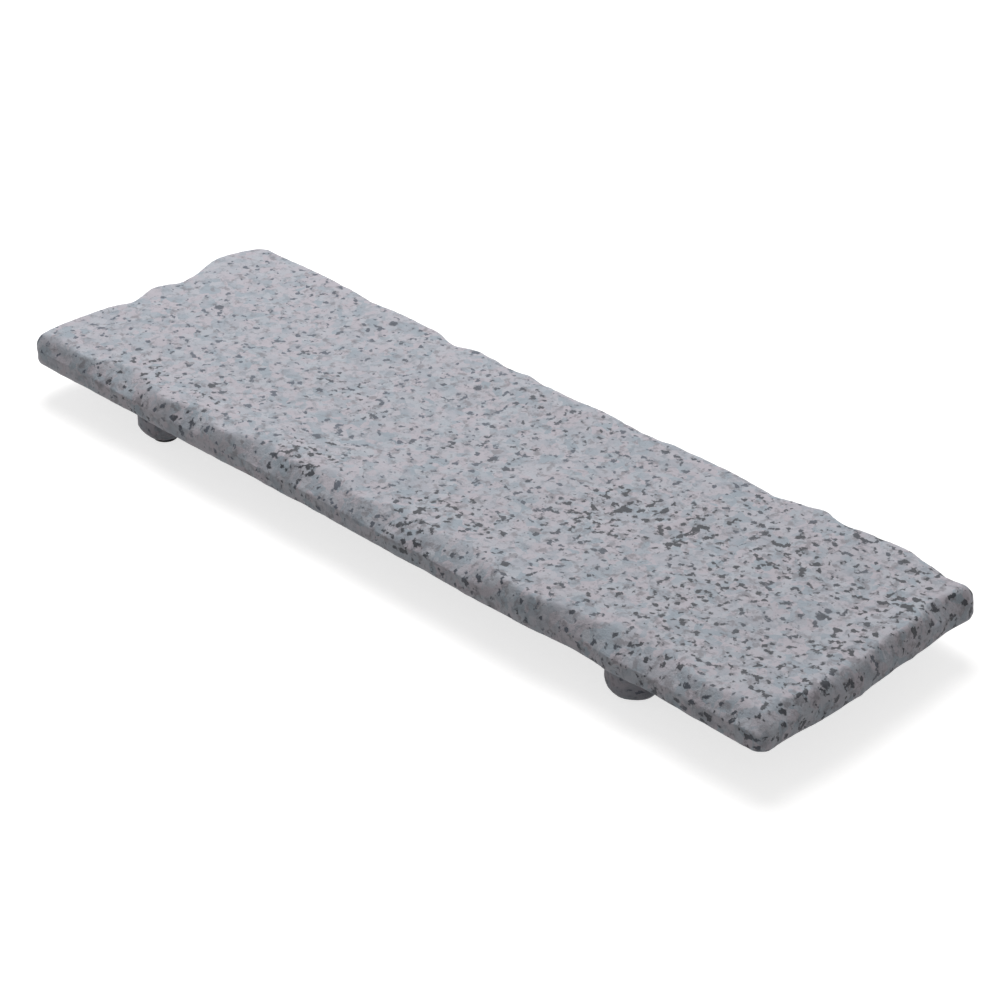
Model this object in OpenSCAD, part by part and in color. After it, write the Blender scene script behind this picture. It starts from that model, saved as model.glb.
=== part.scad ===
// Gongfu tea tray: a hand-dressed granite slab on four turned stone feet.
// +X runs along the slab, +Y to its back edge, +Z up. Origin: on the table, under the middle of the slab.

/* [Slab] */
// Length of the slab over the furthest points of its ends
slab_l = 353; // [240:1:460]
// Width of the slab over the furthest points of its long edges
slab_w = 110; // [90:1:180]
// Thickness of the slab at its rim
slab_t = 12; // [10:0.2:24]
// Plan radius of the two front corners
front_corner_r = 4.5; // [3.5:0.5:12]
// Plan radius of the two back corners
back_corner_r = 8; // [5:0.5:14]
// Height by which the dressed shoulder falls from the top to the upright edge
shoulder_drop = 5.5; // [3:0.5:6]
// Radius of the lower arris
arris_r = 2.6; // [1:0.2:3]
// How far the ends and the back edge stand inside the slab's furthest points, on average
edge_play = 1.6; // [0.6:0.2:3]

/* [Top] */
// Depth of the long tea bed below the rim
bed_depth = 1.2; // [0.2:0.1:2.5]
// Depth of the small hollow at the right end
hollow_depth = 0.9; // [0.2:0.1:2.5]
// Flat rim left round the tea bed and the hollow
rim_w = 9; // [5:0.5:18]
// Place of the low ridge between bed and hollow, from the right end
ridge_from_end = 50; // [30:1:80]
// Width of that ridge
ridge_w = 9; // [4:0.5:16]
// Height of the tool waves left all over the top
tool_wave = 0.3; // [0:0.05:0.6]

/* [Feet] */
// Radius of a foot
foot_r = 9.6; // [7:0.2:13]
// Height of a foot between its pad and the bond under the slab
foot_h = 11.4; // [8:0.2:24]
// Radius of a foot's rounded lower edge
foot_edge_r = 4.8; // [1:0.2:5]
// Chamfer at a foot's upper edge
foot_top_bevel = 0.6; // [0.2:0.1:1.2]
// Distance of the left feet's axes from the slab's left end
foot_from_left = 60.5; // [35:0.5:100]
// Distance of the right feet's axes from the slab's right end
foot_from_right = 64; // [35:0.5:100]
// Distance of a foot's axis from the slab's long edge
foot_from_side = 13; // [13:0.5:30]

/* [Joint] */
// Radius of the spigot that locates a foot in the slab
spigot_r = 5.5; // [3:0.1:6]
// Height of the spigot above the foot's shoulder
spigot_h = 3.2; // [2:0.1:5]
// Thickness of the epoxy round the spigot, above it and under the slab
bond_t = 0.3; // [0.2:0.05:0.6]

/* [Pad] */
// Radius of the non-slip pad
pad_r = 4.4; // [3:0.1:6]
// Thickness of the non-slip pad
pad_t = 0.8; // [0.5:0.1:2]

/* [Hidden] */
$fn = 96;

// Heights above the table
foot_z = pad_t;
shoulder_z = foot_z + foot_h;
under_z = shoulder_z + bond_t;
rim_z = under_z + slab_t;

// Feet in plan
foot_left_x = foot_from_left - slab_l / 2;
foot_right_x = slab_l / 2 - foot_from_right;
foot_y = slab_w / 2 - foot_from_side;

// Depth by which the rough block reaches below the saw cut
saw_depth = 2;

// Chips struck off each edge: place along the edge, half-length, extra width of the shoulder there
front_chips = [
    [-168, 24, 3], [-126, 25, 8], [-89, 13, 4.5], [-54, 18, 5], [-24, 24, 8],
    [12, 26, 8], [42, 26, 7.5], [90, 12, 2], [120, 32, 9.5], [166, 26, 6]
];
back_chips = [[-104, 24, 2], [-60, 14, 2.5], [-10, 30, 4], [34, 30, 4], [88, 18, 4], [120, 10, 2], [160, 18, 3]];
left_chips = [[-12, 16, 3], [16, 18, 4.5], [48, 12, 3]];
right_chips = [[-42, 12, 2], [-18, 10, 1.5], [6, 14, 1], [34, 16, 3.5]];
plain_shoulder = 3;

// Waves of each edge in plan: place along the edge, half-length, distance out (plus) or in (minus)
front_waves = [[-165, 30, 0.5], [-20, 60, -0.5], [94, 20, -0.8], [128, 16, -0.4], [162, 20, 0.5]];
back_waves = [
    [-148, 32, 1.6], [-93, 15, 0.8], [-63, 10, -1.5], [-51, 8, 0.9], [-33, 11, -1.7], [2, 26, -1.1],
    [40, 22, -0.8], [66, 16, -1.6], [90, 12, -0.6], [110, 9, 1.6], [140, 20, 1.6], [167, 11, -1.6]
];
left_waves = [[-42, 20, 1.6], [-10, 12, -1.8], [16, 15, -2.4], [36, 9, 0.8]];
right_waves = [[-22, 26, 1.6], [-2, 14, 0.9], [40, 16, -0.6]];
front_play = 0.5;
wave_reach = 26;

// Distances of the grid's first lines from an edge, and the pitch of the lines between them
near_lines = [0, 0.8, 2.2, 4.6, 8, 12.5];
line_pitch = 7;

function total(v) = v * [for (x = v) 1];
function mix(a, b, k) = a + (b - a) * k;

// One at the middle of a hump, zero at and past its ends
function hump(u) = abs(u) >= 1 ? 0 : pow(cos(90 * u), 2);
function humps(list, at) = total([for (h = list) h[2] * hump((at - h[0]) / h[1])]);

// One over the flat bottom of a hollow, falling smoothly to zero at its border
function hollow_at(u, v) = pow(max(0, 1 - pow(u, 4)), 2) * pow(max(0, 1 - pow(v, 4)), 2);

// Height of the dressed top at a place in plan
function bed_z(x, y) =
    let (
        half_w = slab_w / 2 - rim_w,
        left = -slab_l / 2 + rim_w,
        ridge = slab_l / 2 - ridge_from_end,
        right = slab_l / 2 - rim_w,
        bed_end = ridge - ridge_w / 2,
        hollow_end = ridge + ridge_w / 2,
        bed_u = (2 * x - left - bed_end) / (bed_end - left),
        hollow_u = (2 * x - hollow_end - right) / (right - hollow_end),
        waves = sin(x * 6.1 + y * 2.3) + sin(y * 9.7 - x * 1.9) + sin(x * 3.3 - y * 5.2)
    )
    rim_z
        - bed_depth * hollow_at(bed_u, y / half_w)
        - hollow_depth * hollow_at(hollow_u, y / half_w)
        + tool_wave / 3 * waves;

// Width of the dressed shoulder on the nearest edge, blended round the corners
function shoulder_w(s, t) =
    let (
        from_end = slab_l / 2 - abs(s),
        from_side = slab_w / 2 - abs(t),
        reach = from_end + from_side,
        side_w = plain_shoulder + humps(t < 0 ? front_chips : back_chips, s),
        end_w = plain_shoulder + humps(s < 0 ? left_chips : right_chips, t)
    )
    reach == 0 ? (side_w + end_w) / 2 : mix(end_w, side_w, from_end / reach);

// Distance of a grid point from the nearest edge
function edge_gap(s, t) = min(slab_l / 2 - abs(s), slab_w / 2 - abs(t));

// Corner radius on one side, how far a grid point lies past that corner's centre, and its outward direction
function corner_r(t) = t < 0 ? front_corner_r : back_corner_r;
function past_corner(s, t) =
    [max(0, abs(s) - slab_l / 2 + corner_r(t)), max(0, abs(t) - slab_w / 2 + corner_r(t))];
function outward(s, t) =
    let (q = past_corner(s, t))
    q[0] > 0 && q[1] > 0
        ? [sign(s) * q[0], sign(t) * q[1]] / norm(q)
        : slab_l / 2 - abs(s) < slab_w / 2 - abs(t) ? [sign(s), 0] : [0, sign(t)];

// A grid point moved so that the square corners become round ones
function rounded(s, t) =
    let (q = past_corner(s, t), r = corner_r(t))
    q[0] > 0 && q[1] > 0
        ? [
            sign(s) * (slab_l / 2 - r + q[0] * max(q) / norm(q)),
            sign(t) * (slab_w / 2 - r + q[1] * max(q) / norm(q))
        ]
        : [s, t];

// How far the edges wander, fading away towards the middle of the slab
function fade(gap) = gap >= wave_reach ? 0 : hump(gap / wave_reach);
function wander(s, t) =
    let (
        end_out = s < 0 ? humps(left_waves, t) : humps(right_waves, t),
        side_out = t < 0 ? humps(front_waves, s) : humps(back_waves, s),
        side_play = t < 0 ? front_play : edge_play
    )
    [
        sign(s) * (min(end_out, edge_play) - edge_play) * fade(slab_l / 2 - abs(s)),
        sign(t) * (min(side_out, side_play) - side_play) * fade(slab_w / 2 - abs(t))
    ];

// Height of the top of the upright edge, and of the dressed surface inside it
function edge_z(s, t) = bed_z(s, t) - shoulder_drop;
function top_point(s, t) =
    let (
        p = rounded(s, t) + wander(s, t),
        k = min(1, edge_gap(s, t) / shoulder_w(s, t)),
        top = bed_z(s, t)
    )
    [p[0], p[1], mix(edge_z(s, t), top, sqrt(1 - pow(1 - k, 2)))];

// A point on the upright edge: a height, and a distance in from the furthest outline
function side_point(s, t, z, inset) =
    let (p = rounded(s, t) + wander(s, t) - outward(s, t) * inset)
    [p[0], p[1], z];

// Grid lines across one direction, close together at both edges
function grid_lines(size) =
    let (
        half = size / 2,
        start = near_lines[len(near_lines) - 1],
        count = ceil((size - 2 * start) / line_pitch)
    )
    concat(
        [for (d = near_lines) d - half],
        [for (i = [1 : count - 1]) start - half + i * (size - 2 * start) / count],
        [for (i = [len(near_lines) - 1 : -1 : 0]) half - near_lines[i]]
    );

function quad(a, b, c, d) = [[a, b, c], [a, c, d]];

// The rough block: dressed top, shoulders and upright edges, going down past the saw cut
module rough_block() {
    xs = grid_lines(slab_l);
    ys = grid_lines(slab_w);
    nx = len(xs) - 1;
    ny = len(ys) - 1;

    // The border of the grid, anticlockwise from the front left corner
    border = concat(
        [for (i = [0 : nx - 1]) [i, 0]],
        [for (j = [0 : ny - 1]) [nx, j]],
        [for (i = [nx : -1 : 1]) [i, ny]],
        [for (j = [ny : -1 : 1]) [0, j]]
    );
    ring = len(border);

    // Rows of the upright edge: share of the way down to the arris, then angles round the arris
    wall_rows = [0.5, 1];
    arris_rows = [35, 65, 90];
    rows = len(wall_rows) + len(arris_rows) + 1;

    top = [for (x = xs) for (y = ys) top_point(x, y)];
    walls = [
        for (k = wall_rows)
            for (b = border)
                let (s = xs[b[0]], t = ys[b[1]])
                side_point(s, t, mix(edge_z(s, t), under_z + arris_r, k), 0)
    ];
    arris = [
        for (a = arris_rows)
            for (b = border)
                side_point(xs[b[0]], ys[b[1]], under_z + arris_r * (1 - sin(a)), arris_r * (1 - cos(a)))
    ];
    skirt = [for (b = border) side_point(xs[b[0]], ys[b[1]], under_z - saw_depth, arris_r)];
    middle = [[0, 0, under_z - saw_depth]];

    first = len(top);
    function lattice(i, j) = i * (ny + 1) + j;
    function row_point(r, k) =
        r == 0 ? lattice(border[k % ring][0], border[k % ring][1]) : first + (r - 1) * ring + k % ring;
    centre = first + rows * ring;

    top_faces = [
        for (i = [0 : nx - 1])
            for (j = [0 : ny - 1])
                each quad(lattice(i, j), lattice(i, j + 1), lattice(i + 1, j + 1), lattice(i + 1, j))
    ];
    side_faces = [
        for (r = [0 : rows - 1])
            for (k = [0 : ring - 1])
                each quad(row_point(r, k), row_point(r, k + 1), row_point(r + 1, k + 1), row_point(r + 1, k))
    ];
    base_faces = [for (k = [0 : ring - 1]) [row_point(rows, k), row_point(rows, k + 1), centre]];

    polyhedron(
        points = concat(top, walls, arris, skirt, middle),
        faces = concat(top_faces, side_faces, base_faces),
        convexity = 6
    );
}

// The saw cut that makes the underside flat
module saw_cut() {
    margin = 10;
    translate([-slab_l / 2 - margin, -slab_w / 2 - margin, under_z - saw_depth - margin])
        cube([slab_l + 2 * margin, slab_w + 2 * margin, saw_depth + margin]);
}

// Puts a sub-part at one foot: -1 is left or front, 1 is right or rear
module at_foot(along, across) {
    translate([along < 0 ? foot_left_x : foot_right_x, across * foot_y, 0]) children();
}

module socket() {
    overlap = 1;
    translate([0, 0, under_z - overlap]) cylinder(r = spigot_r + bond_t, h = spigot_h + overlap);
}

module slab() {
    color([0.70, 0.70, 0.74])
        difference() {
            rough_block();
            saw_cut();
            for (along = [-1, 1])
                for (across = [-1, 1])
                    at_foot(along, across) socket();
        }
}

// Half-section of a foot, its axis along Y: rounded below, bevelled above, with the spigot on top
module foot_section() {
    difference() {
        square([foot_r, foot_h]);
        translate([foot_r - foot_edge_r, 0]) square(foot_edge_r);
        translate([foot_r, foot_h]) rotate(45) square(foot_top_bevel * sqrt(2), center = true);
    }
    intersection() {
        translate([foot_r - foot_edge_r, foot_edge_r]) circle(r = foot_edge_r);
        square([foot_r, foot_h - foot_top_bevel]);
    }
    square([spigot_r, foot_h + spigot_h]);
}

module foot() {
    color([0.48, 0.48, 0.51])
        translate([0, 0, foot_z])
            rotate_extrude() foot_section();
}

// The cured epoxy: a film on the foot's shoulder and a cup over its spigot
module bond() {
    film_r = foot_r - foot_top_bevel;
    color([0.80, 0.78, 0.70])
        difference() {
            union() {
                translate([0, 0, shoulder_z]) cylinder(r = film_r, h = bond_t);
                translate([0, 0, shoulder_z]) cylinder(r = spigot_r + bond_t, h = bond_t + spigot_h);
            }
            translate([0, 0, foot_z]) cylinder(r = spigot_r, h = foot_h + spigot_h);
        }
}

module pad() {
    color([0.16, 0.16, 0.17]) cylinder(r = pad_r, h = pad_t);
}

slab();
at_foot(-1, -1) foot();  // foot_front_left
at_foot(1, -1) foot();  // foot_front_right
at_foot(-1, 1) foot();  // foot_rear_left
at_foot(1, 1) foot();  // foot_rear_right
at_foot(-1, -1) bond();  // bond_front_left
at_foot(1, -1) bond();  // bond_front_right
at_foot(-1, 1) bond();  // bond_rear_left
at_foot(1, 1) bond();  // bond_rear_right
at_foot(-1, -1) pad();  // pad_front_left
at_foot(1, -1) pad();  // pad_front_right
at_foot(-1, 1) pad();  // pad_rear_left
at_foot(1, 1) pad();  // pad_rear_right
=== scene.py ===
"""Gongfu tea tray: a hand-dressed granite slab on four short stone feet, shown on a pale floor."""
import math

import bmesh
import bpy
from mathutils import Matrix, Vector, noise


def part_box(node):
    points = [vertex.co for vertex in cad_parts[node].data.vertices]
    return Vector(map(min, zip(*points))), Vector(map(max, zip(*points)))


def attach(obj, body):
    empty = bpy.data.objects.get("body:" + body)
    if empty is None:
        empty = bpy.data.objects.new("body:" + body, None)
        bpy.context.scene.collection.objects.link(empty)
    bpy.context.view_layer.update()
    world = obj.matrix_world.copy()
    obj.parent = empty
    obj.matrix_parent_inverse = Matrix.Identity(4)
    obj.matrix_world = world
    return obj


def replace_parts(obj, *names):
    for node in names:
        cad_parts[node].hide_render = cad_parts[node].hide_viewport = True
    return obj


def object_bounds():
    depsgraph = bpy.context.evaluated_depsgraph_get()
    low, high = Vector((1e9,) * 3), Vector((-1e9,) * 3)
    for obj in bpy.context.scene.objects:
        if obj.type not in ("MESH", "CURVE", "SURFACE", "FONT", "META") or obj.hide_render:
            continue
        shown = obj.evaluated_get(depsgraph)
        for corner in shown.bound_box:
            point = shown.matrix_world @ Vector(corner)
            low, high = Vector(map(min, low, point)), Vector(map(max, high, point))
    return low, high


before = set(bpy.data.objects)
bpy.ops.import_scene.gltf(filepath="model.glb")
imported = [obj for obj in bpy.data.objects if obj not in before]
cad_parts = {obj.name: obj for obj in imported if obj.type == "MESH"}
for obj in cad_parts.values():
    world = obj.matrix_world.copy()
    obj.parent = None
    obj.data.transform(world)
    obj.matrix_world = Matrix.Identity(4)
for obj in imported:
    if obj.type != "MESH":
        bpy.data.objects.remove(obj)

MM = 0.001

# The CAD model's own box, and how far inside it the slab stays, in metres
CAD_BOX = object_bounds()
KEEP_IN = 0.02 * MM

# Slab, in millimetres, as the CAD model has it
SLAB_L, SLAB_W, SLAB_T = 353, 110, 12
FRONT_CORNER_R, BACK_CORNER_R = 4.5, 8
SHOULDER_DROP, PLAIN_SHOULDER = 5.5, 3
ARRIS_R = 2.6
EDGE_PLAY, FRONT_PLAY, WAVE_REACH = 1.6, 0.5, 26
BED_DEPTH, HOLLOW_DEPTH, RIM_W = 1.2, 0.9, 9
RIDGE_FROM_END, RIDGE_W = 50, 9
UNDER_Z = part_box("slab")[0].z / MM
RIM_Z = UNDER_Z + SLAB_T

# Height of the tool waves, and how fast each of them turns: degrees for a millimetre along x and along y
TOOL_WAVE = 0.3
TOOL_STROKES = [(6.1, 2.3), (-1.9, 9.7), (3.3, -5.2)]

# Chips along each edge: place, half-length, extra width of the shoulder
FRONT_CHIPS = [
    (-168, 24, 3), (-126, 25, 8), (-89, 13, 4.5), (-54, 18, 5), (-24, 24, 8),
    (12, 26, 8), (42, 26, 7.5), (90, 12, 2), (120, 32, 9.5), (166, 26, 6),
]
BACK_CHIPS = [
    (-104, 24, 2), (-60, 14, 2.5), (-10, 30, 4), (34, 30, 4),
    (88, 18, 4), (120, 10, 2), (160, 18, 3),
]
LEFT_CHIPS = [(-12, 16, 3), (16, 18, 4.5), (48, 12, 3)]
RIGHT_CHIPS = [(-42, 12, 2), (-18, 10, 1.5), (6, 14, 1), (34, 16, 3.5)]

# Waves of each edge in plan: place, half-length, distance out or in
FRONT_WAVES = [(-165, 30, 0.5), (-20, 60, -0.5), (94, 20, -0.8), (128, 16, -0.4), (162, 20, 0.5)]
BACK_WAVES = [
    (-148, 32, 1.6), (-93, 15, 0.8), (-63, 10, -1.5), (-51, 8, 0.9), (-33, 11, -1.7), (2, 26, -1.1),
    (40, 22, -0.8), (66, 16, -1.6), (90, 12, -0.6), (110, 9, 1.6), (140, 20, 1.6), (167, 11, -1.6),
]
LEFT_WAVES = [(-42, 20, 1.6), (-10, 12, -1.8), (16, 15, -2.4), (36, 9, 0.8)]
RIGHT_WAVES = [(-22, 26, 1.6), (-2, 14, 0.9), (40, 16, -0.6)]

# What the dressing changes in that form: a rounder back left corner, and how far the shoulders slope
BACK_LEFT_CORNER_R = 11
SLOPE_POWER, SLOPE_SHARE = 1.25, 0.85
LEFT_SLOPE = 0.3

# Relief of the dressing: size of each bite, start of its noise, and depth on the top and on the edges
BITES = [
    (15, (0, 0, 0), 0.60, 0.75),
    (6.5, (31, 7, 3), 0.26, 0.5),
    (2.2, (5, 40, 11), 0.09, 0.16),
    (1.1, (17, 3, 29), 0.05, 0.06),
]

# Height over which that relief sets in above the sawn underside, in millimetres
SAWN_MARGIN = 1.6

# Mesh of the slab: pitch of its lattice, closer lines at each edge, rows down the edge, flat border below
PITCH = 0.85
CLOSE_LINES = 9
WALL_ROWS = 5
ARRIS_ROWS = 4
SAWN_BORDER = 1

# What each point of the block remembers while it is made: its place on the lattice, and how far it is edge
NOTES = ["along", "across", "edge_share"]

# Feet, in millimetres, as the CAD model has them
CORNERS = ["front_left", "front_right", "rear_left", "rear_right"]
FOOT_R, FOOT_TOP_BEVEL = 9.6, 0.6
SPIGOT_R, SPIGOT_H, BOND_T = 5.5, 3.2, 0.3
PAD_R, PAD_T = 4.4, 0.8
SHOULDER_Z = UNDER_Z - BOND_T

# Worn lower edge of each foot: width, height and roundness, 1 for a chamfer and 2 for a quarter ellipse
FOOT_EDGES = {
    "front_left": (5.6, 5.2, 1.25),
    "front_right": (4.6, 5.6, 1.8),
    "rear_left": (4.9, 4.8, 1.6),
    "rear_right": (5.2, 5.0, 1.5),
}

# Wear all over a foot: size and depth of its dents, and the widths over which it sets in
FOOT_WEAR = [(6, 0.34), (2, 0.14)]
WEAR_FROM_PAD, WEAR_FROM_SHOULDER = 2, 0.8

# Bevel at the top of each spigot
SPIGOT_BEVEL = 0.3

# Edge of the epoxy film: its rounding, the rim that crept, and how far in it crept
FILM_IN, FILM_UP = 0.2, 0.08
FILM_RIM = 0.5
CREEP, CREEP_PLAY, CREEP_MOST, CREEP_SIZE = 0.3, 0.9, 0.9, 4

# Moulded form of a pad: its rounded rim, its top bevel, and the dish in its lower face
PAD_RIM, PAD_BEVEL = 0.3, 0.1
RIM_ANGLES = (0, 0.4, 0.8, 1.2, math.pi / 2)
DISH_R, DISH_SLOPE, DISH_DEPTH = 2.2, 0.3, 0.12

# Mesh of the round pieces: steps round the axis and along a section, and how close points are merged
ROUND_STEPS, PAD_STEPS = 72, 64
WORN_STEPS = 10
BASE_STEP, BEVEL_STEP = 0.8, 0.4
MERGE = 0.001

# How far the socket drill starts below the slab
DRILL_CLEAR = 2

# Angle from which an edge is shown sharp, on the slab and on the other pieces
SLAB_SHARP_AT, SHARP_AT = 50, 40


def mix(a, b, share):
    return a + (b - a) * share


# Rises evenly from 0 at no distance to 1 at a given one, and stays there
def faded(distance, over):
    return min(1, max(0, distance) / over)


# A share from 0 to 1, made to start and end gently
def eased(k):
    return k * k * (3 - 2 * k)


# One at the middle of a hump, zero at and past its ends
def hump(u):
    return 0 if abs(u) >= 1 else math.cos(math.pi / 2 * u) ** 2


def humps(chips, at):
    return sum(amount * hump((at - place) / half) for place, half, amount in chips)


# One over the flat bottom of a hollow, falling smoothly to zero at its border
def hollow(u, v):
    return max(0, 1 - u**4) ** 2 * max(0, 1 - v**4) ** 2


# Height of the dressed top at a place in plan
def bed_z(x, y):
    half_w = SLAB_W / 2 - RIM_W
    left, right = RIM_W - SLAB_L / 2, SLAB_L / 2 - RIM_W
    ridge = SLAB_L / 2 - RIDGE_FROM_END
    bed_end, hollow_end = ridge - RIDGE_W / 2, ridge + RIDGE_W / 2
    bed_u = (2 * x - left - bed_end) / (bed_end - left)
    hollow_u = (2 * x - hollow_end - right) / (right - hollow_end)
    waves = sum(math.sin(math.radians(a * x + b * y)) for a, b in TOOL_STROKES)
    dishing = BED_DEPTH * hollow(bed_u, y / half_w) + HOLLOW_DEPTH * hollow(hollow_u, y / half_w)
    return RIM_Z - dishing + TOOL_WAVE / len(TOOL_STROKES) * waves


# How much a place belongs to the long edges: 0 on an end, 1 on a long edge, between them round a corner
def side_share(s, t):
    from_end, from_side = SLAB_L / 2 - abs(s), SLAB_W / 2 - abs(t)
    reach = from_end + from_side
    return 0.5 if reach < 1e-6 else from_end / reach


# Width of the dressed shoulder on the nearest edge
def shoulder_w(s, t):
    side = PLAIN_SHOULDER + humps(FRONT_CHIPS if t < 0 else BACK_CHIPS, s)
    end = PLAIN_SHOULDER + humps(LEFT_CHIPS if s < 0 else RIGHT_CHIPS, t)
    return mix(end, side, side_share(s, t))


# Height of the shoulder, as a share of its drop: sloping on the front and the right end, fuller elsewhere
def shoulder_rise(s, t, k):
    side, end = (1 if t < 0 else 0), (1 if s > 0 else LEFT_SLOPE)
    sloping = mix(end, side, side_share(s, t))
    full = math.sqrt(1 - (1 - k) ** 2)
    return mix(full, 1 - (1 - k) ** SLOPE_POWER, sloping * SLOPE_SHARE)


def edge_gap(s, t):
    return max(0, min(SLAB_L / 2 - abs(s), SLAB_W / 2 - abs(t)))


# A lattice point with the square corners made round and the edges wandering, and its outward direction
def plan_point(s, t):
    r = FRONT_CORNER_R if t < 0 else BACK_CORNER_R if s > 0 else BACK_LEFT_CORNER_R
    q = Vector((max(0, abs(s) - SLAB_L / 2 + r), max(0, abs(t) - SLAB_W / 2 + r)))
    way_s, way_t = math.copysign(1, s), math.copysign(1, t)
    if q.x > 0 and q.y > 0:
        far = max(q) / q.length
        place = Vector((way_s * (SLAB_L / 2 - r + q.x * far), way_t * (SLAB_W / 2 - r + q.y * far)))
        out = Vector((way_s * q.x, way_t * q.y)).normalized()
    else:
        place = Vector((s, t))
        nearer_end = SLAB_L / 2 - abs(s) < SLAB_W / 2 - abs(t)
        out = Vector((way_s, 0)) if nearer_end else Vector((0, way_t))
    end_out = humps(LEFT_WAVES if s < 0 else RIGHT_WAVES, t)
    side_out = humps(FRONT_WAVES if t < 0 else BACK_WAVES, s)
    side_play = FRONT_PLAY if t < 0 else EDGE_PLAY
    end_fade = hump((SLAB_L / 2 - abs(s)) / WAVE_REACH)
    side_fade = hump((SLAB_W / 2 - abs(t)) / WAVE_REACH)
    place.x += way_s * (min(end_out, EDGE_PLAY) - EDGE_PLAY) * end_fade
    place.y += way_t * (min(side_out, side_play) - side_play) * side_fade
    return place, out


# Lattice lines across one direction, closing up towards both edges
def lattice_lines(size):
    start = PITCH * CLOSE_LINES / 2
    close = [start * (i / CLOSE_LINES) ** 2 for i in range(CLOSE_LINES)]
    count = round((size - 2 * start) / PITCH)
    even = [start + i * (size - 2 * start) / count for i in range(count + 1)]
    far = [size - d for d in reversed(close)]
    return [d - size / 2 for d in close + even + far]


# How far the dressing cuts below the plain form, or stays above it: lightly on top, deeper on the edges
def bite(place, edge):
    return sum(
        mix(on_top, on_edge, edge) * noise.noise(place / size + Vector(start))
        for size, start, on_top, on_edge in BITES
    )


# A place kept inside the CAD model's own box
def inside_box(place):
    low, high = CAD_BOX
    return Vector([min(max(c, a + KEEP_IN), b - KEEP_IN) for c, a, b in zip(place, low, high)])


# The top of the block: a lattice raised to the bed and falling away at its shoulders
def lay_top(bm, along, across, edge_share):
    xs, ys = lattice_lines(SLAB_L), lattice_lines(SLAB_W)
    nx, ny = len(xs) - 1, len(ys) - 1
    bmesh.ops.create_grid(bm, x_segments=nx, y_segments=ny, size=1)
    for v in bm.verts:
        s = xs[round((v.co.x + 1) / 2 * nx)]
        t = ys[round((v.co.y + 1) / 2 * ny)]
        k = min(1, edge_gap(s, t) / shoulder_w(s, t))
        place, _ = plan_point(s, t)
        top = bed_z(s, t)
        v[along], v[across], v[edge_share] = s, t, 1 - eased(k)
        v.co = Vector((place.x, place.y, mix(top - SHOULDER_DROP, top, shoulder_rise(s, t, k))))


# Draws a border out by one row; gives the new border's edges and points
def drawn_out(bm, border):
    made = bmesh.ops.extrude_edge_only(bm, edges=border)["geom"]
    ring = [g for g in made if isinstance(g, bmesh.types.BMVert)]
    edges = [g for g in made if isinstance(g, bmesh.types.BMEdge) and g.is_boundary]
    return edges, ring


# Draws the top's border down the upright edge, round the lower arris and in below, and closes it there
def draw_down(bm, along, across, edge_share):
    border = [e for e in bm.edges if e.is_boundary]
    rows = [(i / WALL_ROWS, 0, 1) for i in range(1, WALL_ROWS + 1)]
    rows += [
        (1, math.pi / 2 * i / ARRIS_ROWS, 1 - i / ARRIS_ROWS)
        for i in range(1, ARRIS_ROWS + 1)
    ]
    for down, angle, share in rows:
        border, ring = drawn_out(bm, border)
        for v in ring:
            s, t = v[along], v[across]
            place, out = plan_point(s, t)
            place -= out * ARRIS_R * (1 - math.cos(angle))
            high = bed_z(s, t) - SHOULDER_DROP
            low = UNDER_Z + ARRIS_R
            v.co = Vector((place.x, place.y, mix(high, low, down) - ARRIS_R * math.sin(angle)))
            v[edge_share] = share
    border, ring = drawn_out(bm, border)
    for v in ring:
        place, out = plan_point(v[along], v[across])
        place -= out * (ARRIS_R + SAWN_BORDER)
        v.co = Vector((place.x, place.y, UNDER_Z))
        v[edge_share] = 0
    bmesh.ops.edgeloop_fill(bm, edges=border)


# Cuts the dressing's relief along the normals, leaves the sawn underside flat, and turns to metres
def carve(bm, edge_share):
    places = []
    for v in bm.verts:
        free = faded(v.co.z - UNDER_Z, SAWN_MARGIN)
        places.append(v.co - v.normal * bite(v.co, v[edge_share]) * free)
    for v, place in zip(bm.verts, places):
        v.co = inside_box(place * MM)


# The whole dressed block, before its sockets are cut
def dressed_block():
    bm = bmesh.new()
    for name in NOTES:
        bm.verts.layers.float.new(name)
    along, across, edge_share = [bm.verts.layers.float[name] for name in NOTES]
    lay_top(bm, along, across, edge_share)
    draw_down(bm, along, across, edge_share)
    bmesh.ops.recalc_face_normals(bm, faces=bm.faces)
    bm.normal_update()
    carve(bm, edge_share)
    for name in NOTES:
        bm.verts.layers.float.remove(bm.verts.layers.float[name])
    return bm


# An object from a bmesh, which is used up
def shown(name, bm):
    mesh = bpy.data.meshes.new(name)
    bm.to_mesh(mesh)
    bm.free()
    body = bpy.data.objects.new(name, mesh)
    bpy.context.scene.collection.objects.link(body)
    return body


# Makes a piece from a bmesh, with its finish and its body
def piece(name, bm, material, sharp_at=SHARP_AT):
    body = shown(name, bm)
    finish_mesh(body.data, material, sharp_at)
    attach(body, "root")
    return body


# Gives a mesh its material and smooth shading
def finish_mesh(mesh, material, sharp_at):
    mesh.materials.clear()
    mesh.materials.append(material)
    mesh.polygons.foreach_set("use_smooth", [True] * len(mesh.polygons))
    mesh.set_sharp_from_angle(angle=math.radians(sharp_at))


# A closed round piece: a half-section in millimetres, from axis to axis, turned about an upright line
def turned(section, centre, steps):
    bm = bmesh.new()
    line = [bm.verts.new((r, 0, z)) for r, z in section]
    edges = [bm.edges.new(pair) for pair in zip(line, line[1:])]
    bmesh.ops.spin(
        bm, geom=line + edges, cent=(0, 0, 0), axis=(0, 0, 1),
        angle=2 * math.pi, steps=steps, use_merge=True,
    )
    bmesh.ops.remove_doubles(bm, verts=bm.verts, dist=MERGE)
    bmesh.ops.recalc_face_normals(bm, faces=bm.faces)
    bmesh.ops.translate(bm, verts=bm.verts, vec=(centre.x, centre.y, 0))
    return bm


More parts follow.
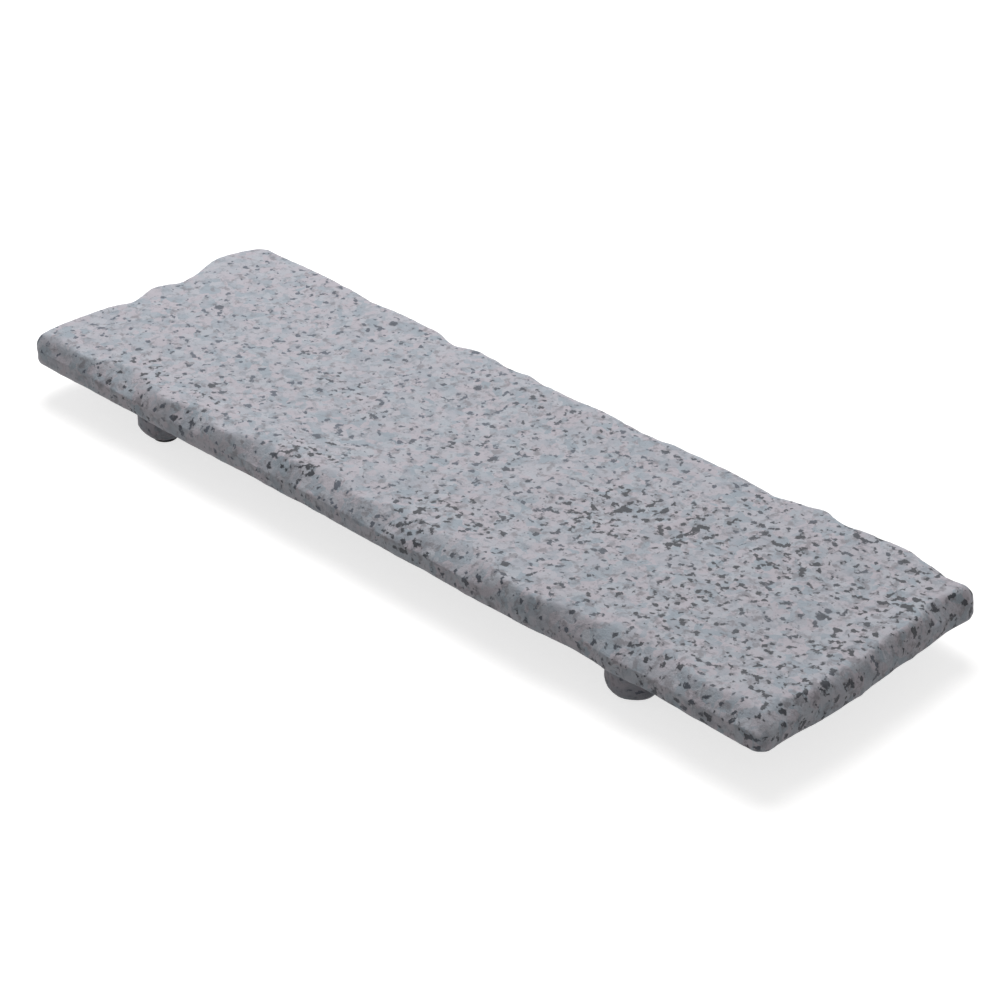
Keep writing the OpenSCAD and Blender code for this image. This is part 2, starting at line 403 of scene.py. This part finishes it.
# Points along a section, each about one step from the last, so that the surface can be worked
def closely(section, step):
    points = [section[0]]
    for a, b in zip(section, section[1:]):
        count = max(1, round(math.dist(a, b) / step))
        shares = [i / count for i in range(1, count + 1)]
        points += [(mix(a[0], b[0], share), mix(a[1], b[1], share)) for share in shares]
    return points


def foot_centre(corner):
    low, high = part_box("foot_" + corner)
    return (low + high) / 2 / MM


# Half-section of a foot's worn lower edge, from its base outwards and up
def worn_edge(wide, high, roundness):
    points = []
    for i in range(WORN_STEPS + 1):
        a = math.pi / 2 * i / WORN_STEPS
        r = FOOT_R - wide + wide * math.sin(a) ** (2 / roundness)
        z = PAD_T + high - high * math.cos(a) ** (2 / roundness)
        points.append((r, z))
    return points


# A stone foot: worn lower edge, bevelled shoulder, and the spigot that enters the slab
def foot(corner, material):
    centre = foot_centre(corner)
    spigot_top = SHOULDER_Z + SPIGOT_H
    bevel = [(FOOT_R, SHOULDER_Z - FOOT_TOP_BEVEL), (FOOT_R - FOOT_TOP_BEVEL, SHOULDER_Z)]
    section = closely([(0, PAD_T)] + worn_edge(*FOOT_EDGES[corner]), BASE_STEP)
    section += closely(bevel, BEVEL_STEP)
    section += [
        (SPIGOT_R, SHOULDER_Z), (SPIGOT_R, spigot_top - SPIGOT_BEVEL),
        (SPIGOT_R - SPIGOT_BEVEL, spigot_top), (0, spigot_top),
    ]
    bm = turned(section, centre, ROUND_STEPS)
    bm.normal_update()
    places = []
    for v in bm.verts:
        reach = math.hypot(v.co.x - centre.x, v.co.y - centre.y)
        free = faded(reach - PAD_R, WEAR_FROM_PAD) * faded(SHOULDER_Z - v.co.z, WEAR_FROM_SHOULDER)
        wear = sum(depth * noise.noise(v.co / size) for size, depth in FOOT_WEAR)
        places.append(v.co - v.normal * wear * free)
    for v, place in zip(bm.verts, places):
        v.co = place * MM
    return piece("stone_foot_" + corner, bm, material)


# The epoxy: a film under the slab whose edge has crept unevenly, and a cup over the spigot
def bond(corner, material):
    centre = foot_centre(corner)
    film_r = FOOT_R - FOOT_TOP_BEVEL
    cup_r = SPIGOT_R + BOND_T
    top = UNDER_Z + SPIGOT_H
    section = [
        (0, top - BOND_T), (SPIGOT_R, top - BOND_T), (SPIGOT_R, SHOULDER_Z),
        (film_r - FILM_IN, SHOULDER_Z), (film_r, SHOULDER_Z + FILM_UP),
        (film_r, UNDER_Z - FILM_UP), (film_r - FILM_IN, UNDER_Z),
        (cup_r, UNDER_Z), (cup_r, top), (0, top),
    ]
    bm = turned(section, centre, ROUND_STEPS)
    for v in bm.verts:
        arm = Vector((v.co.x - centre.x, v.co.y - centre.y, 0))
        if arm.length > film_r - FILM_RIM:
            play = CREEP_PLAY * noise.noise(arm / CREEP_SIZE + Vector((centre.x, centre.y, 0)))
            v.co -= arm.normalized() * min(CREEP_MOST, max(0, CREEP + play))
        v.co *= MM
    return piece("epoxy_bond_" + corner, bm, material)


# A soft pad with a rounded rim and a shallow dish moulded into its lower face
def pad(corner, material):
    rim = [
        (PAD_R - PAD_RIM + PAD_RIM * math.sin(a), PAD_RIM - PAD_RIM * math.cos(a))
        for a in RIM_ANGLES
    ]
    section = [
        (0, DISH_DEPTH), (DISH_R, DISH_DEPTH), (DISH_R + DISH_SLOPE, 0), *rim,
        (PAD_R, PAD_T - PAD_BEVEL), (PAD_R - PAD_BEVEL, PAD_T), (0, PAD_T),
    ]
    bm = turned(section, foot_centre(corner), PAD_STEPS)
    bmesh.ops.scale(bm, vec=(MM, MM, MM), verts=bm.verts)
    return piece("rubber_pad_" + corner, bm, material)


# Cuts the four sockets for the spigots into the slab's underside
def cut_sockets(slab, material):
    bm = bmesh.new()
    hole_r = (SPIGOT_R + BOND_T) * MM
    low, high = UNDER_Z - DRILL_CLEAR, UNDER_Z + SPIGOT_H
    for corner in CORNERS:
        centre = foot_centre(corner)
        middle = Vector((centre.x, centre.y, (low + high) / 2)) * MM
        bmesh.ops.create_cone(
            bm, cap_ends=True, segments=ROUND_STEPS, radius1=hole_r, radius2=hole_r,
            depth=(high - low) * MM, matrix=Matrix.Translation(middle),
        )
    drill = shown("socket_drill", bm)
    cut = slab.modifiers.new("sockets", "BOOLEAN")
    cut.object = drill
    cut.operation = "DIFFERENCE"
    cut.solver = "EXACT"
    drilled = slab.evaluated_get(bpy.context.evaluated_depsgraph_get())
    cut_mesh = bpy.data.meshes.new_from_object(drilled)
    slab.modifiers.clear()
    slab.data = cut_mesh
    finish_mesh(cut_mesh, material, SLAB_SHARP_AT)
    bpy.data.objects.remove(drill)


# A colour as it looks on screen, from 0 to 255, made the linear colour that nodes take
def linear(colour):
    shares = [c / 255 for c in colour]
    return tuple(c / 12.92 if c <= 0.04045 else ((c + 0.055) / 1.055) ** 2.4 for c in shares) + (1,)


class Wire:
    """A socket of a recipe's nodes, with Python's arithmetic."""

    def __init__(self, recipe, socket):
        self.recipe, self.socket = recipe, socket

    def calc(self, operation, *values):
        return self.recipe.node("ShaderNodeMath", {"operation": operation}, dict(enumerate(values)))

    def __add__(self, other):
        return self.calc("ADD", self, other)

    def __sub__(self, other):
        return self.calc("SUBTRACT", self, other)

    def __rsub__(self, other):
        return self.calc("SUBTRACT", other, self)

    def __mul__(self, other):
        return self.calc("MULTIPLY", self, other)

    __radd__, __rmul__ = __add__, __mul__

    def at_least(self, other):
        return self.calc("MAXIMUM", self, other)

    # Another output of the same node
    def beside(self, output):
        return Wire(self.recipe, self.socket.node.outputs[output])


class Recipe:
    """The nodes of one material or of the world, built up one by one."""

    def __init__(self, owner):
        owner.use_nodes = True
        self.owner = owner
        self.tree = owner.node_tree
        self.tree.nodes.clear()

    # Adds a node: its type, its settings, the values or wires of its sockets, and the output that is wanted
    def node(self, kind, settings=None, sockets=None, out=0):
        made = self.tree.nodes.new(kind)
        for key, value in (settings or {}).items():
            setattr(made, key, value)
        for key, value in (sockets or {}).items():
            if isinstance(value, Wire):
                self.tree.links.new(value.socket, made.inputs[key])
            else:
                made.inputs[key].default_value = value
        return Wire(self, made.outputs[out]) if len(made.outputs) else None

    def vector(self, operation, sockets, out=0):
        return self.node("ShaderNodeVectorMath", {"operation": operation}, sockets, out)

    # The place on the object, in millimetres
    def place(self):
        coords = self.node("ShaderNodeTexCoord", out="Object")
        return self.vector("SCALE", {0: coords, "Scale": 1 / MM})

    def noise(self, place, size, detail=2, roughness=0.5, out=0):
        sockets = {"Vector": place, "Scale": 1 / size, "Detail": detail, "Roughness": roughness}
        return self.node("ShaderNodeTexNoise", None, sockets, out)

    # The place pushed about by a noise, which makes grains ragged
    def ragged(self, place, size, reach):
        push = self.vector("SUBTRACT", {0: self.noise(place, size, out=1), 1: (0.5, 0.5, 0.5)})
        return self.vector("ADD", {0: place, 1: self.vector("SCALE", {0: push, "Scale": reach})})

    # Distance from the middle of the nearest grain, in millimetres, and a random number for that grain
    def grains(self, place, size):
        cells = self.node("ShaderNodeTexVoronoi", None, {"Vector": place, "Scale": 1 / size})
        lot = self.node("ShaderNodeSeparateColor", None, {"Color": cells.beside("Color")})
        return cells * size, lot

    # From 0 at the first limit to 1 at the second
    def smooth(self, value, limits):
        sockets = {"Value": value, "From Min": limits[0], "From Max": limits[1]}
        return self.node("ShaderNodeMapRange", {"interpolation_type": "SMOOTHSTEP"}, sockets)

    def blend(self, share, a, b, blend_type="MIX"):
        settings = {"data_type": "RGBA", "blend_type": blend_type}
        return self.node("ShaderNodeMix", settings, {0: share, 6: a, 7: b}, 2)

    def finish(self, colour, roughness, height, depth, specular=0.5):
        bump = self.node("ShaderNodeBump", None, {"Height": height, "Distance": depth, "Strength": 1})
        sockets = {
            "Base Color": colour, "Roughness": roughness,
            "Normal": bump, "Specular IOR Level": specular,
        }
        surface = self.node("ShaderNodeBsdfPrincipled", None, sockets)
        self.node("ShaderNodeOutputMaterial", None, {"Surface": surface})
        return self.owner


def new_recipe(name):
    return Recipe(bpy.data.materials.new(name))


# Colours of the granite's minerals, as they look on screen
PINK_FELDSPAR = linear((186, 181, 188))
MILKY_FELDSPAR = linear((183, 186, 193))
BLUE_QUARTZ = linear((160, 169, 178))
GREY_QUARTZ = linear((142, 147, 155))
BLUE_MICA = linear((84, 91, 103))
BLACK_MICA = linear((38, 41, 48))
BROWN_SMUDGE = linear((132, 129, 134))

# How grains are made ragged: size of the noise that pushes them, and how far, in millimetres
PATCH_PUSH = (3.0, 3.0)
FLAKE_PUSH = (1.4, 1.1)

# Mosaic of feldspar and quartz: size of each pattern in millimetres, where it sets in, and its strength
MOSAIC_SIZE = 3.4
MILKY_LIMITS, PINK_LIMITS = (0.1, 0.6), (0.5, 0.9)
DRIFT_SIZE, DRIFT_LIMITS, DRIFT_SHARE = 8, (0.40, 0.62), 0.5
QUARTZ_SIZE, QUARTZ_LIMITS, QUARTZ_SHARE = 3.0, (0.50, 0.66), 0.6
SMUDGE_SIZE, SMUDGE_LIMITS, SMUDGE_SHARE = 3.4, (0.56, 0.70), 0.7
SMUDGE_MICA = 0.03

# Drifts of mica all over the stone, and how much more there is with each millimetre to the right
THICK_SIZE, THICK_LIMITS, THICK_SHARE = 26, (0.38, 0.66), 0.45
MICA_GAIN = 0.0024

# Where dark mica lies thickest, in millimetres: place, reach, and how much more there is
MICA_CLOUDS = [
    ((62, 2, 24), 26, 0.8), ((84, 12, 24), 20, 0.7), ((121, 25, 24), 22, 0.8),
    ((112, -18, 24), 26, 0.55), ((-128, -44, 21), 30, 1.0), ((-92, -44, 21), 24, 1.0),
    ((-40, -46, 21), 26, 0.9), ((160, 24, 24), 24, 0.7), ((150, -30, 22), 24, 0.45),
    ((-60, 0, 24), 22, 0.35), ((20, -44, 22), 26, 0.8),
]

# Small flakes of mica: size of their grains and noise, where they set in, and what adds to them
FLAKE_SIZE, FLAKE_NOISE_SIZE, FLAKE_LIMITS = 2.9, 2.7, (0.588, 0.678)
FLAKE_GAP, FLAKE_LOT, FLAKE_CLOUD = 0.085, 0.10, 0.064

# Large single flakes: size of their grains, share of the grains that have one, and its radius
LARGE_FLAKES = [(6.2, 0.10, 2.2), (3.8, 0.12, 1.4)]
TORN_SIZE, TORN_REACH = 1.6, 2.6
LARGE_EDGE = (0, 0.8)

# How dark the flakes are: black where mica lies thick, blue-grey elsewhere, and how well they cover
BLACK_SIZE, BLACK_PLAY, BLACK_LIMITS = 6, 1.2, (1.4, 2.2)
FLAKE_SHARE = 0.95

# Surface of the granite: fine and coarse pits, their depth in millimetres, and its roughness
PIT_SIZE, DENT_SIZE, DENT_SHARE, PIT_DEPTH = 0.9, 2.4, 0.8, 0.22
STONE_ROUGHNESS, MICA_SMOOTHER, ROUGHNESS_PLAY, ROUGHNESS_SIZE = 0.66, 0.16, 0.12, 5
STONE_SPECULAR = 0.35

# Painted shade of each stone, none on the slab and a darker copy on the feet for the shade under the slab,
# and how much mica it has
SLAB_PAINTED_SHADE, SLAB_MICA = (1, 1, 1, 1), 0.86
FOOT_PAINTED_SHADE, FOOT_MICA = (0.74, 0.73, 0.74, 1), 0.7


# Colour of the stone between its flakes of mica
def mineral_mosaic(r, place, patches):
    _, lot = r.grains(patches, MOSAIC_SIZE)
    colour = r.blend(r.smooth(lot, MILKY_LIMITS), BLUE_QUARTZ, MILKY_FELDSPAR)
    colour = r.blend(r.smooth(lot, PINK_LIMITS), colour, PINK_FELDSPAR)
    drift = r.smooth(r.noise(place, DRIFT_SIZE, detail=3), DRIFT_LIMITS)
    colour = r.blend(drift * DRIFT_SHARE, colour, PINK_FELDSPAR)
    quartz = r.smooth(r.noise(patches, QUARTZ_SIZE, detail=3, roughness=0.6), QUARTZ_LIMITS)
    return r.blend(quartz * QUARTZ_SHARE, colour, GREY_QUARTZ)


# How thick the mica lies at a place
def mica_cloud(r, place, specks):
    to_right = r.node("ShaderNodeSeparateXYZ", None, {0: place})
    drift = r.smooth(r.noise(place, THICK_SIZE, detail=3, roughness=0.6), THICK_LIMITS)
    cloud = drift * THICK_SHARE + specks + to_right * MICA_GAIN
    for middle, reach, more in MICA_CLOUDS:
        gap = r.vector("DISTANCE", {0: place, 1: middle}, "Value")
        cloud = cloud + (1 - r.smooth(gap, (0, reach))) * more * specks
    return cloud


# One on a flake of mica, zero beside it
def mica_flakes(r, place, fine, cloud):
    gap, lot = r.grains(fine, FLAKE_SIZE)
    score = r.noise(fine, FLAKE_NOISE_SIZE) - gap * FLAKE_GAP + lot * FLAKE_LOT + cloud * FLAKE_CLOUD
    flakes = r.smooth(score, FLAKE_LIMITS)
    torn = (r.noise(place, TORN_SIZE, roughness=0.6) - 0.5) * TORN_REACH
    for size, share, largest in LARGE_FLAKES:
        gap, lot = r.grains(fine, size)
        present = r.smooth(lot, (1 - share * cloud, 1))
        flakes = flakes.at_least(r.smooth(present * largest - gap + torn, LARGE_EDGE))
    return flakes


# Speckled granite: a mosaic of feldspar and quartz with ragged flakes of dark mica, its colour multiplied
# by a painted shade
def granite(name, painted_shade, specks):
    r = new_recipe(name)
    place = r.place()
    patches = r.ragged(place, *PATCH_PUSH)
    fine = r.ragged(place, *FLAKE_PUSH)
    cloud = mica_cloud(r, place, specks)
    flakes = mica_flakes(r, place, fine, cloud)

    smudge = r.noise(patches, SMUDGE_SIZE, detail=3, roughness=0.6)
    smudge = r.smooth(smudge + cloud * SMUDGE_MICA, SMUDGE_LIMITS)
    colour = r.blend(smudge * SMUDGE_SHARE, mineral_mosaic(r, place, patches), BROWN_SMUDGE)
    black = r.smooth(cloud + r.noise(place, BLACK_SIZE) * BLACK_PLAY, BLACK_LIMITS)
    colour = r.blend(flakes * FLAKE_SHARE, colour, r.blend(black, BLUE_MICA, BLACK_MICA))
    # Painted shade: the colour darkened by a factor, which on the feet stands in for the shade under the
    # slab
    colour = r.blend(1, colour, painted_shade, "MULTIPLY")

    pits = r.noise(place, PIT_SIZE, detail=4, roughness=0.65)
    dents = r.noise(place, DENT_SIZE, detail=3, roughness=0.6)
    roughness = STONE_ROUGHNESS - flakes * MICA_SMOOTHER + r.noise(place, ROUGHNESS_SIZE) * ROUGHNESS_PLAY
    return r.finish(colour, roughness, pits + dents * DENT_SHARE, PIT_DEPTH * MM, STONE_SPECULAR)


# Epoxy and rubber: colours as they look on screen, size of the grain, depth of the relief, and roughness
PALE_EPOXY, DARK_EPOXY = linear((196, 190, 168)), linear((172, 165, 146))
HAZE_SIZE, HAZE_LIMITS, HAZE_DEPTH = 1.6, (0.3, 0.7), 0.03
EPOXY_ROUGHNESS, EPOXY_PLAY = 0.28, 0.2
DARK_RUBBER, PALE_RUBBER = linear((38, 38, 40)), linear((56, 56, 58))
RUBBER_SIZE, RUBBER_DEPTH = 0.35, 0.04
RUBBER_ROUGHNESS, RUBBER_PLAY, RUBBER_SPECULAR = 0.7, 0.2, 0.3


def epoxy():
    r = new_recipe("cured_epoxy")
    haze = r.noise(r.place(), HAZE_SIZE, detail=4, roughness=0.6)
    colour = r.blend(r.smooth(haze, HAZE_LIMITS), PALE_EPOXY, DARK_EPOXY)
    return r.finish(colour, EPOXY_ROUGHNESS + haze * EPOXY_PLAY, haze, HAZE_DEPTH * MM)


def rubber():
    r = new_recipe("pad_rubber")
    grain = r.noise(r.place(), RUBBER_SIZE, detail=3, roughness=0.7)
    colour = r.blend(grain, DARK_RUBBER, PALE_RUBBER)
    roughness = RUBBER_ROUGHNESS + grain * RUBBER_PLAY
    return r.finish(colour, roughness, grain, RUBBER_DEPTH * MM, RUBBER_SPECULAR)


# Camera, fitted to the photograph's view: lens, angles, distance and aim, with lengths in millimetres
LENS, SENSOR = 106.92, 36
ELEVATION, AZIMUTH = math.radians(31.215), math.radians(44.575)
DISTANCE, AIM_RIGHT, AIM_UP, AIM_Z = 1016.565, 8.345, -12.023, 18.5


def add_camera():
    level = math.cos(ELEVATION)
    back = Vector((math.sin(AZIMUTH) * level, -math.cos(AZIMUTH) * level, math.sin(ELEVATION)))
    right = Vector((math.cos(AZIMUTH), math.sin(AZIMUTH), 0))
    up = back.cross(right)
    data = bpy.data.cameras.new("camera")
    data.lens, data.sensor_width = LENS, SENSOR
    camera = bpy.data.objects.new("camera", data)
    bpy.context.scene.collection.objects.link(camera)
    camera.location = (Vector((0, 0, AIM_Z)) + right * AIM_RIGHT + up * AIM_UP + back * DISTANCE) * MM
    camera.rotation_mode = "QUATERNION"
    camera.rotation_quaternion = back.to_track_quat("Z", "Y")
    bpy.context.scene.camera = camera


# Floor, surroundings and softbox: places and sizes in metres, but the gap under the pads in millimetres
FLOOR_HALF, FLOOR_GAP = 4, 0.1
FLOOR_COLOUR, FLOOR_ROUGHNESS = (0.53, 0.52, 0.51, 1), 0.9
FLOOR_GLOW = 0.72
AMBIENT = 0.23
SOFTBOX_AT = Vector((-0.46, 0.40, 1.12))
SOFTBOX_SIZE, SOFTBOX_POWER = 0.8, 13.8
SOFTBOX_COLOUR = (0.985, 0.99, 1.0)


# One for the given kinds of ray, zero for the others
def seen_rays(r, kinds):
    first = r.node("ShaderNodeLightPath", out=kinds[0])
    seen = first
    for kind in kinds[1:]:
        seen = seen.at_least(first.beside(kind))
    return seen


# A floor that glows for the camera and in reflections, so that it looks pale and keeps the shadow
def add_floor():
    bm = bmesh.new()
    bmesh.ops.create_grid(bm, x_segments=4, y_segments=4, size=FLOOR_HALF)
    bmesh.ops.translate(bm, verts=bm.verts, vec=(0, 0, -FLOOR_GAP * MM))
    floor = shown("studio_floor", bm)
    r = new_recipe("studio_floor")
    glow = seen_rays(r, ["Is Camera Ray", "Is Glossy Ray"]) * FLOOR_GLOW
    sockets = {
        "Base Color": FLOOR_COLOUR, "Roughness": FLOOR_ROUGHNESS,
        "Emission Color": glow, "Emission Strength": 1,
    }
    surface = r.node("ShaderNodeBsdfPrincipled", None, sockets)
    r.node("ShaderNodeOutputMaterial", None, {"Surface": surface})
    floor.data.materials.append(r.owner)


# Surroundings that look white, and light the object only a little from all sides
def add_world():
    world = bpy.data.worlds.new("studio")
    bpy.context.scene.world = world
    r = Recipe(world)
    seen = seen_rays(r, ["Is Camera Ray", "Is Glossy Ray", "Is Transmission Ray"])
    strength = seen * (1 - AMBIENT) + AMBIENT
    air = r.node("ShaderNodeBackground", None, {"Color": (1, 1, 1, 1), "Strength": strength})
    r.node("ShaderNodeOutputWorld", None, {"Surface": air})


# The one lamp, high up beyond the tray's back left corner
def add_softbox():
    data = bpy.data.lights.new("softbox", "AREA")
    data.size, data.energy, data.color = SOFTBOX_SIZE, SOFTBOX_POWER, SOFTBOX_COLOUR
    lamp = bpy.data.objects.new("softbox", data)
    bpy.context.scene.collection.objects.link(lamp)
    lamp.location = SOFTBOX_AT
    lamp.rotation_mode = "QUATERNION"
    lamp.rotation_quaternion = SOFTBOX_AT.to_track_quat("Z", "Y")


def add_tray():
    stone = granite("dressed_granite", SLAB_PAINTED_SHADE, SLAB_MICA)
    slab = piece("dressed_slab", dressed_block(), stone, SLAB_SHARP_AT)
    cut_sockets(slab, stone)
    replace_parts(slab, "slab")
    # The feet take the slab's granite painted darker, as painted shade under the slab
    foot_stone_painted_shade = granite("foot_granite", FOOT_PAINTED_SHADE, FOOT_MICA)
    glue = epoxy()
    soft = rubber()
    for corner in CORNERS:
        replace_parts(foot(corner, foot_stone_painted_shade), "foot_" + corner)
        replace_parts(bond(corner, glue), "bond_" + corner)
        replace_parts(pad(corner, soft), "pad_" + corner)


add_camera()
add_world()
add_floor()
add_softbox()
add_tray()
bpy.context.scene.view_settings.view_transform = "Standard"
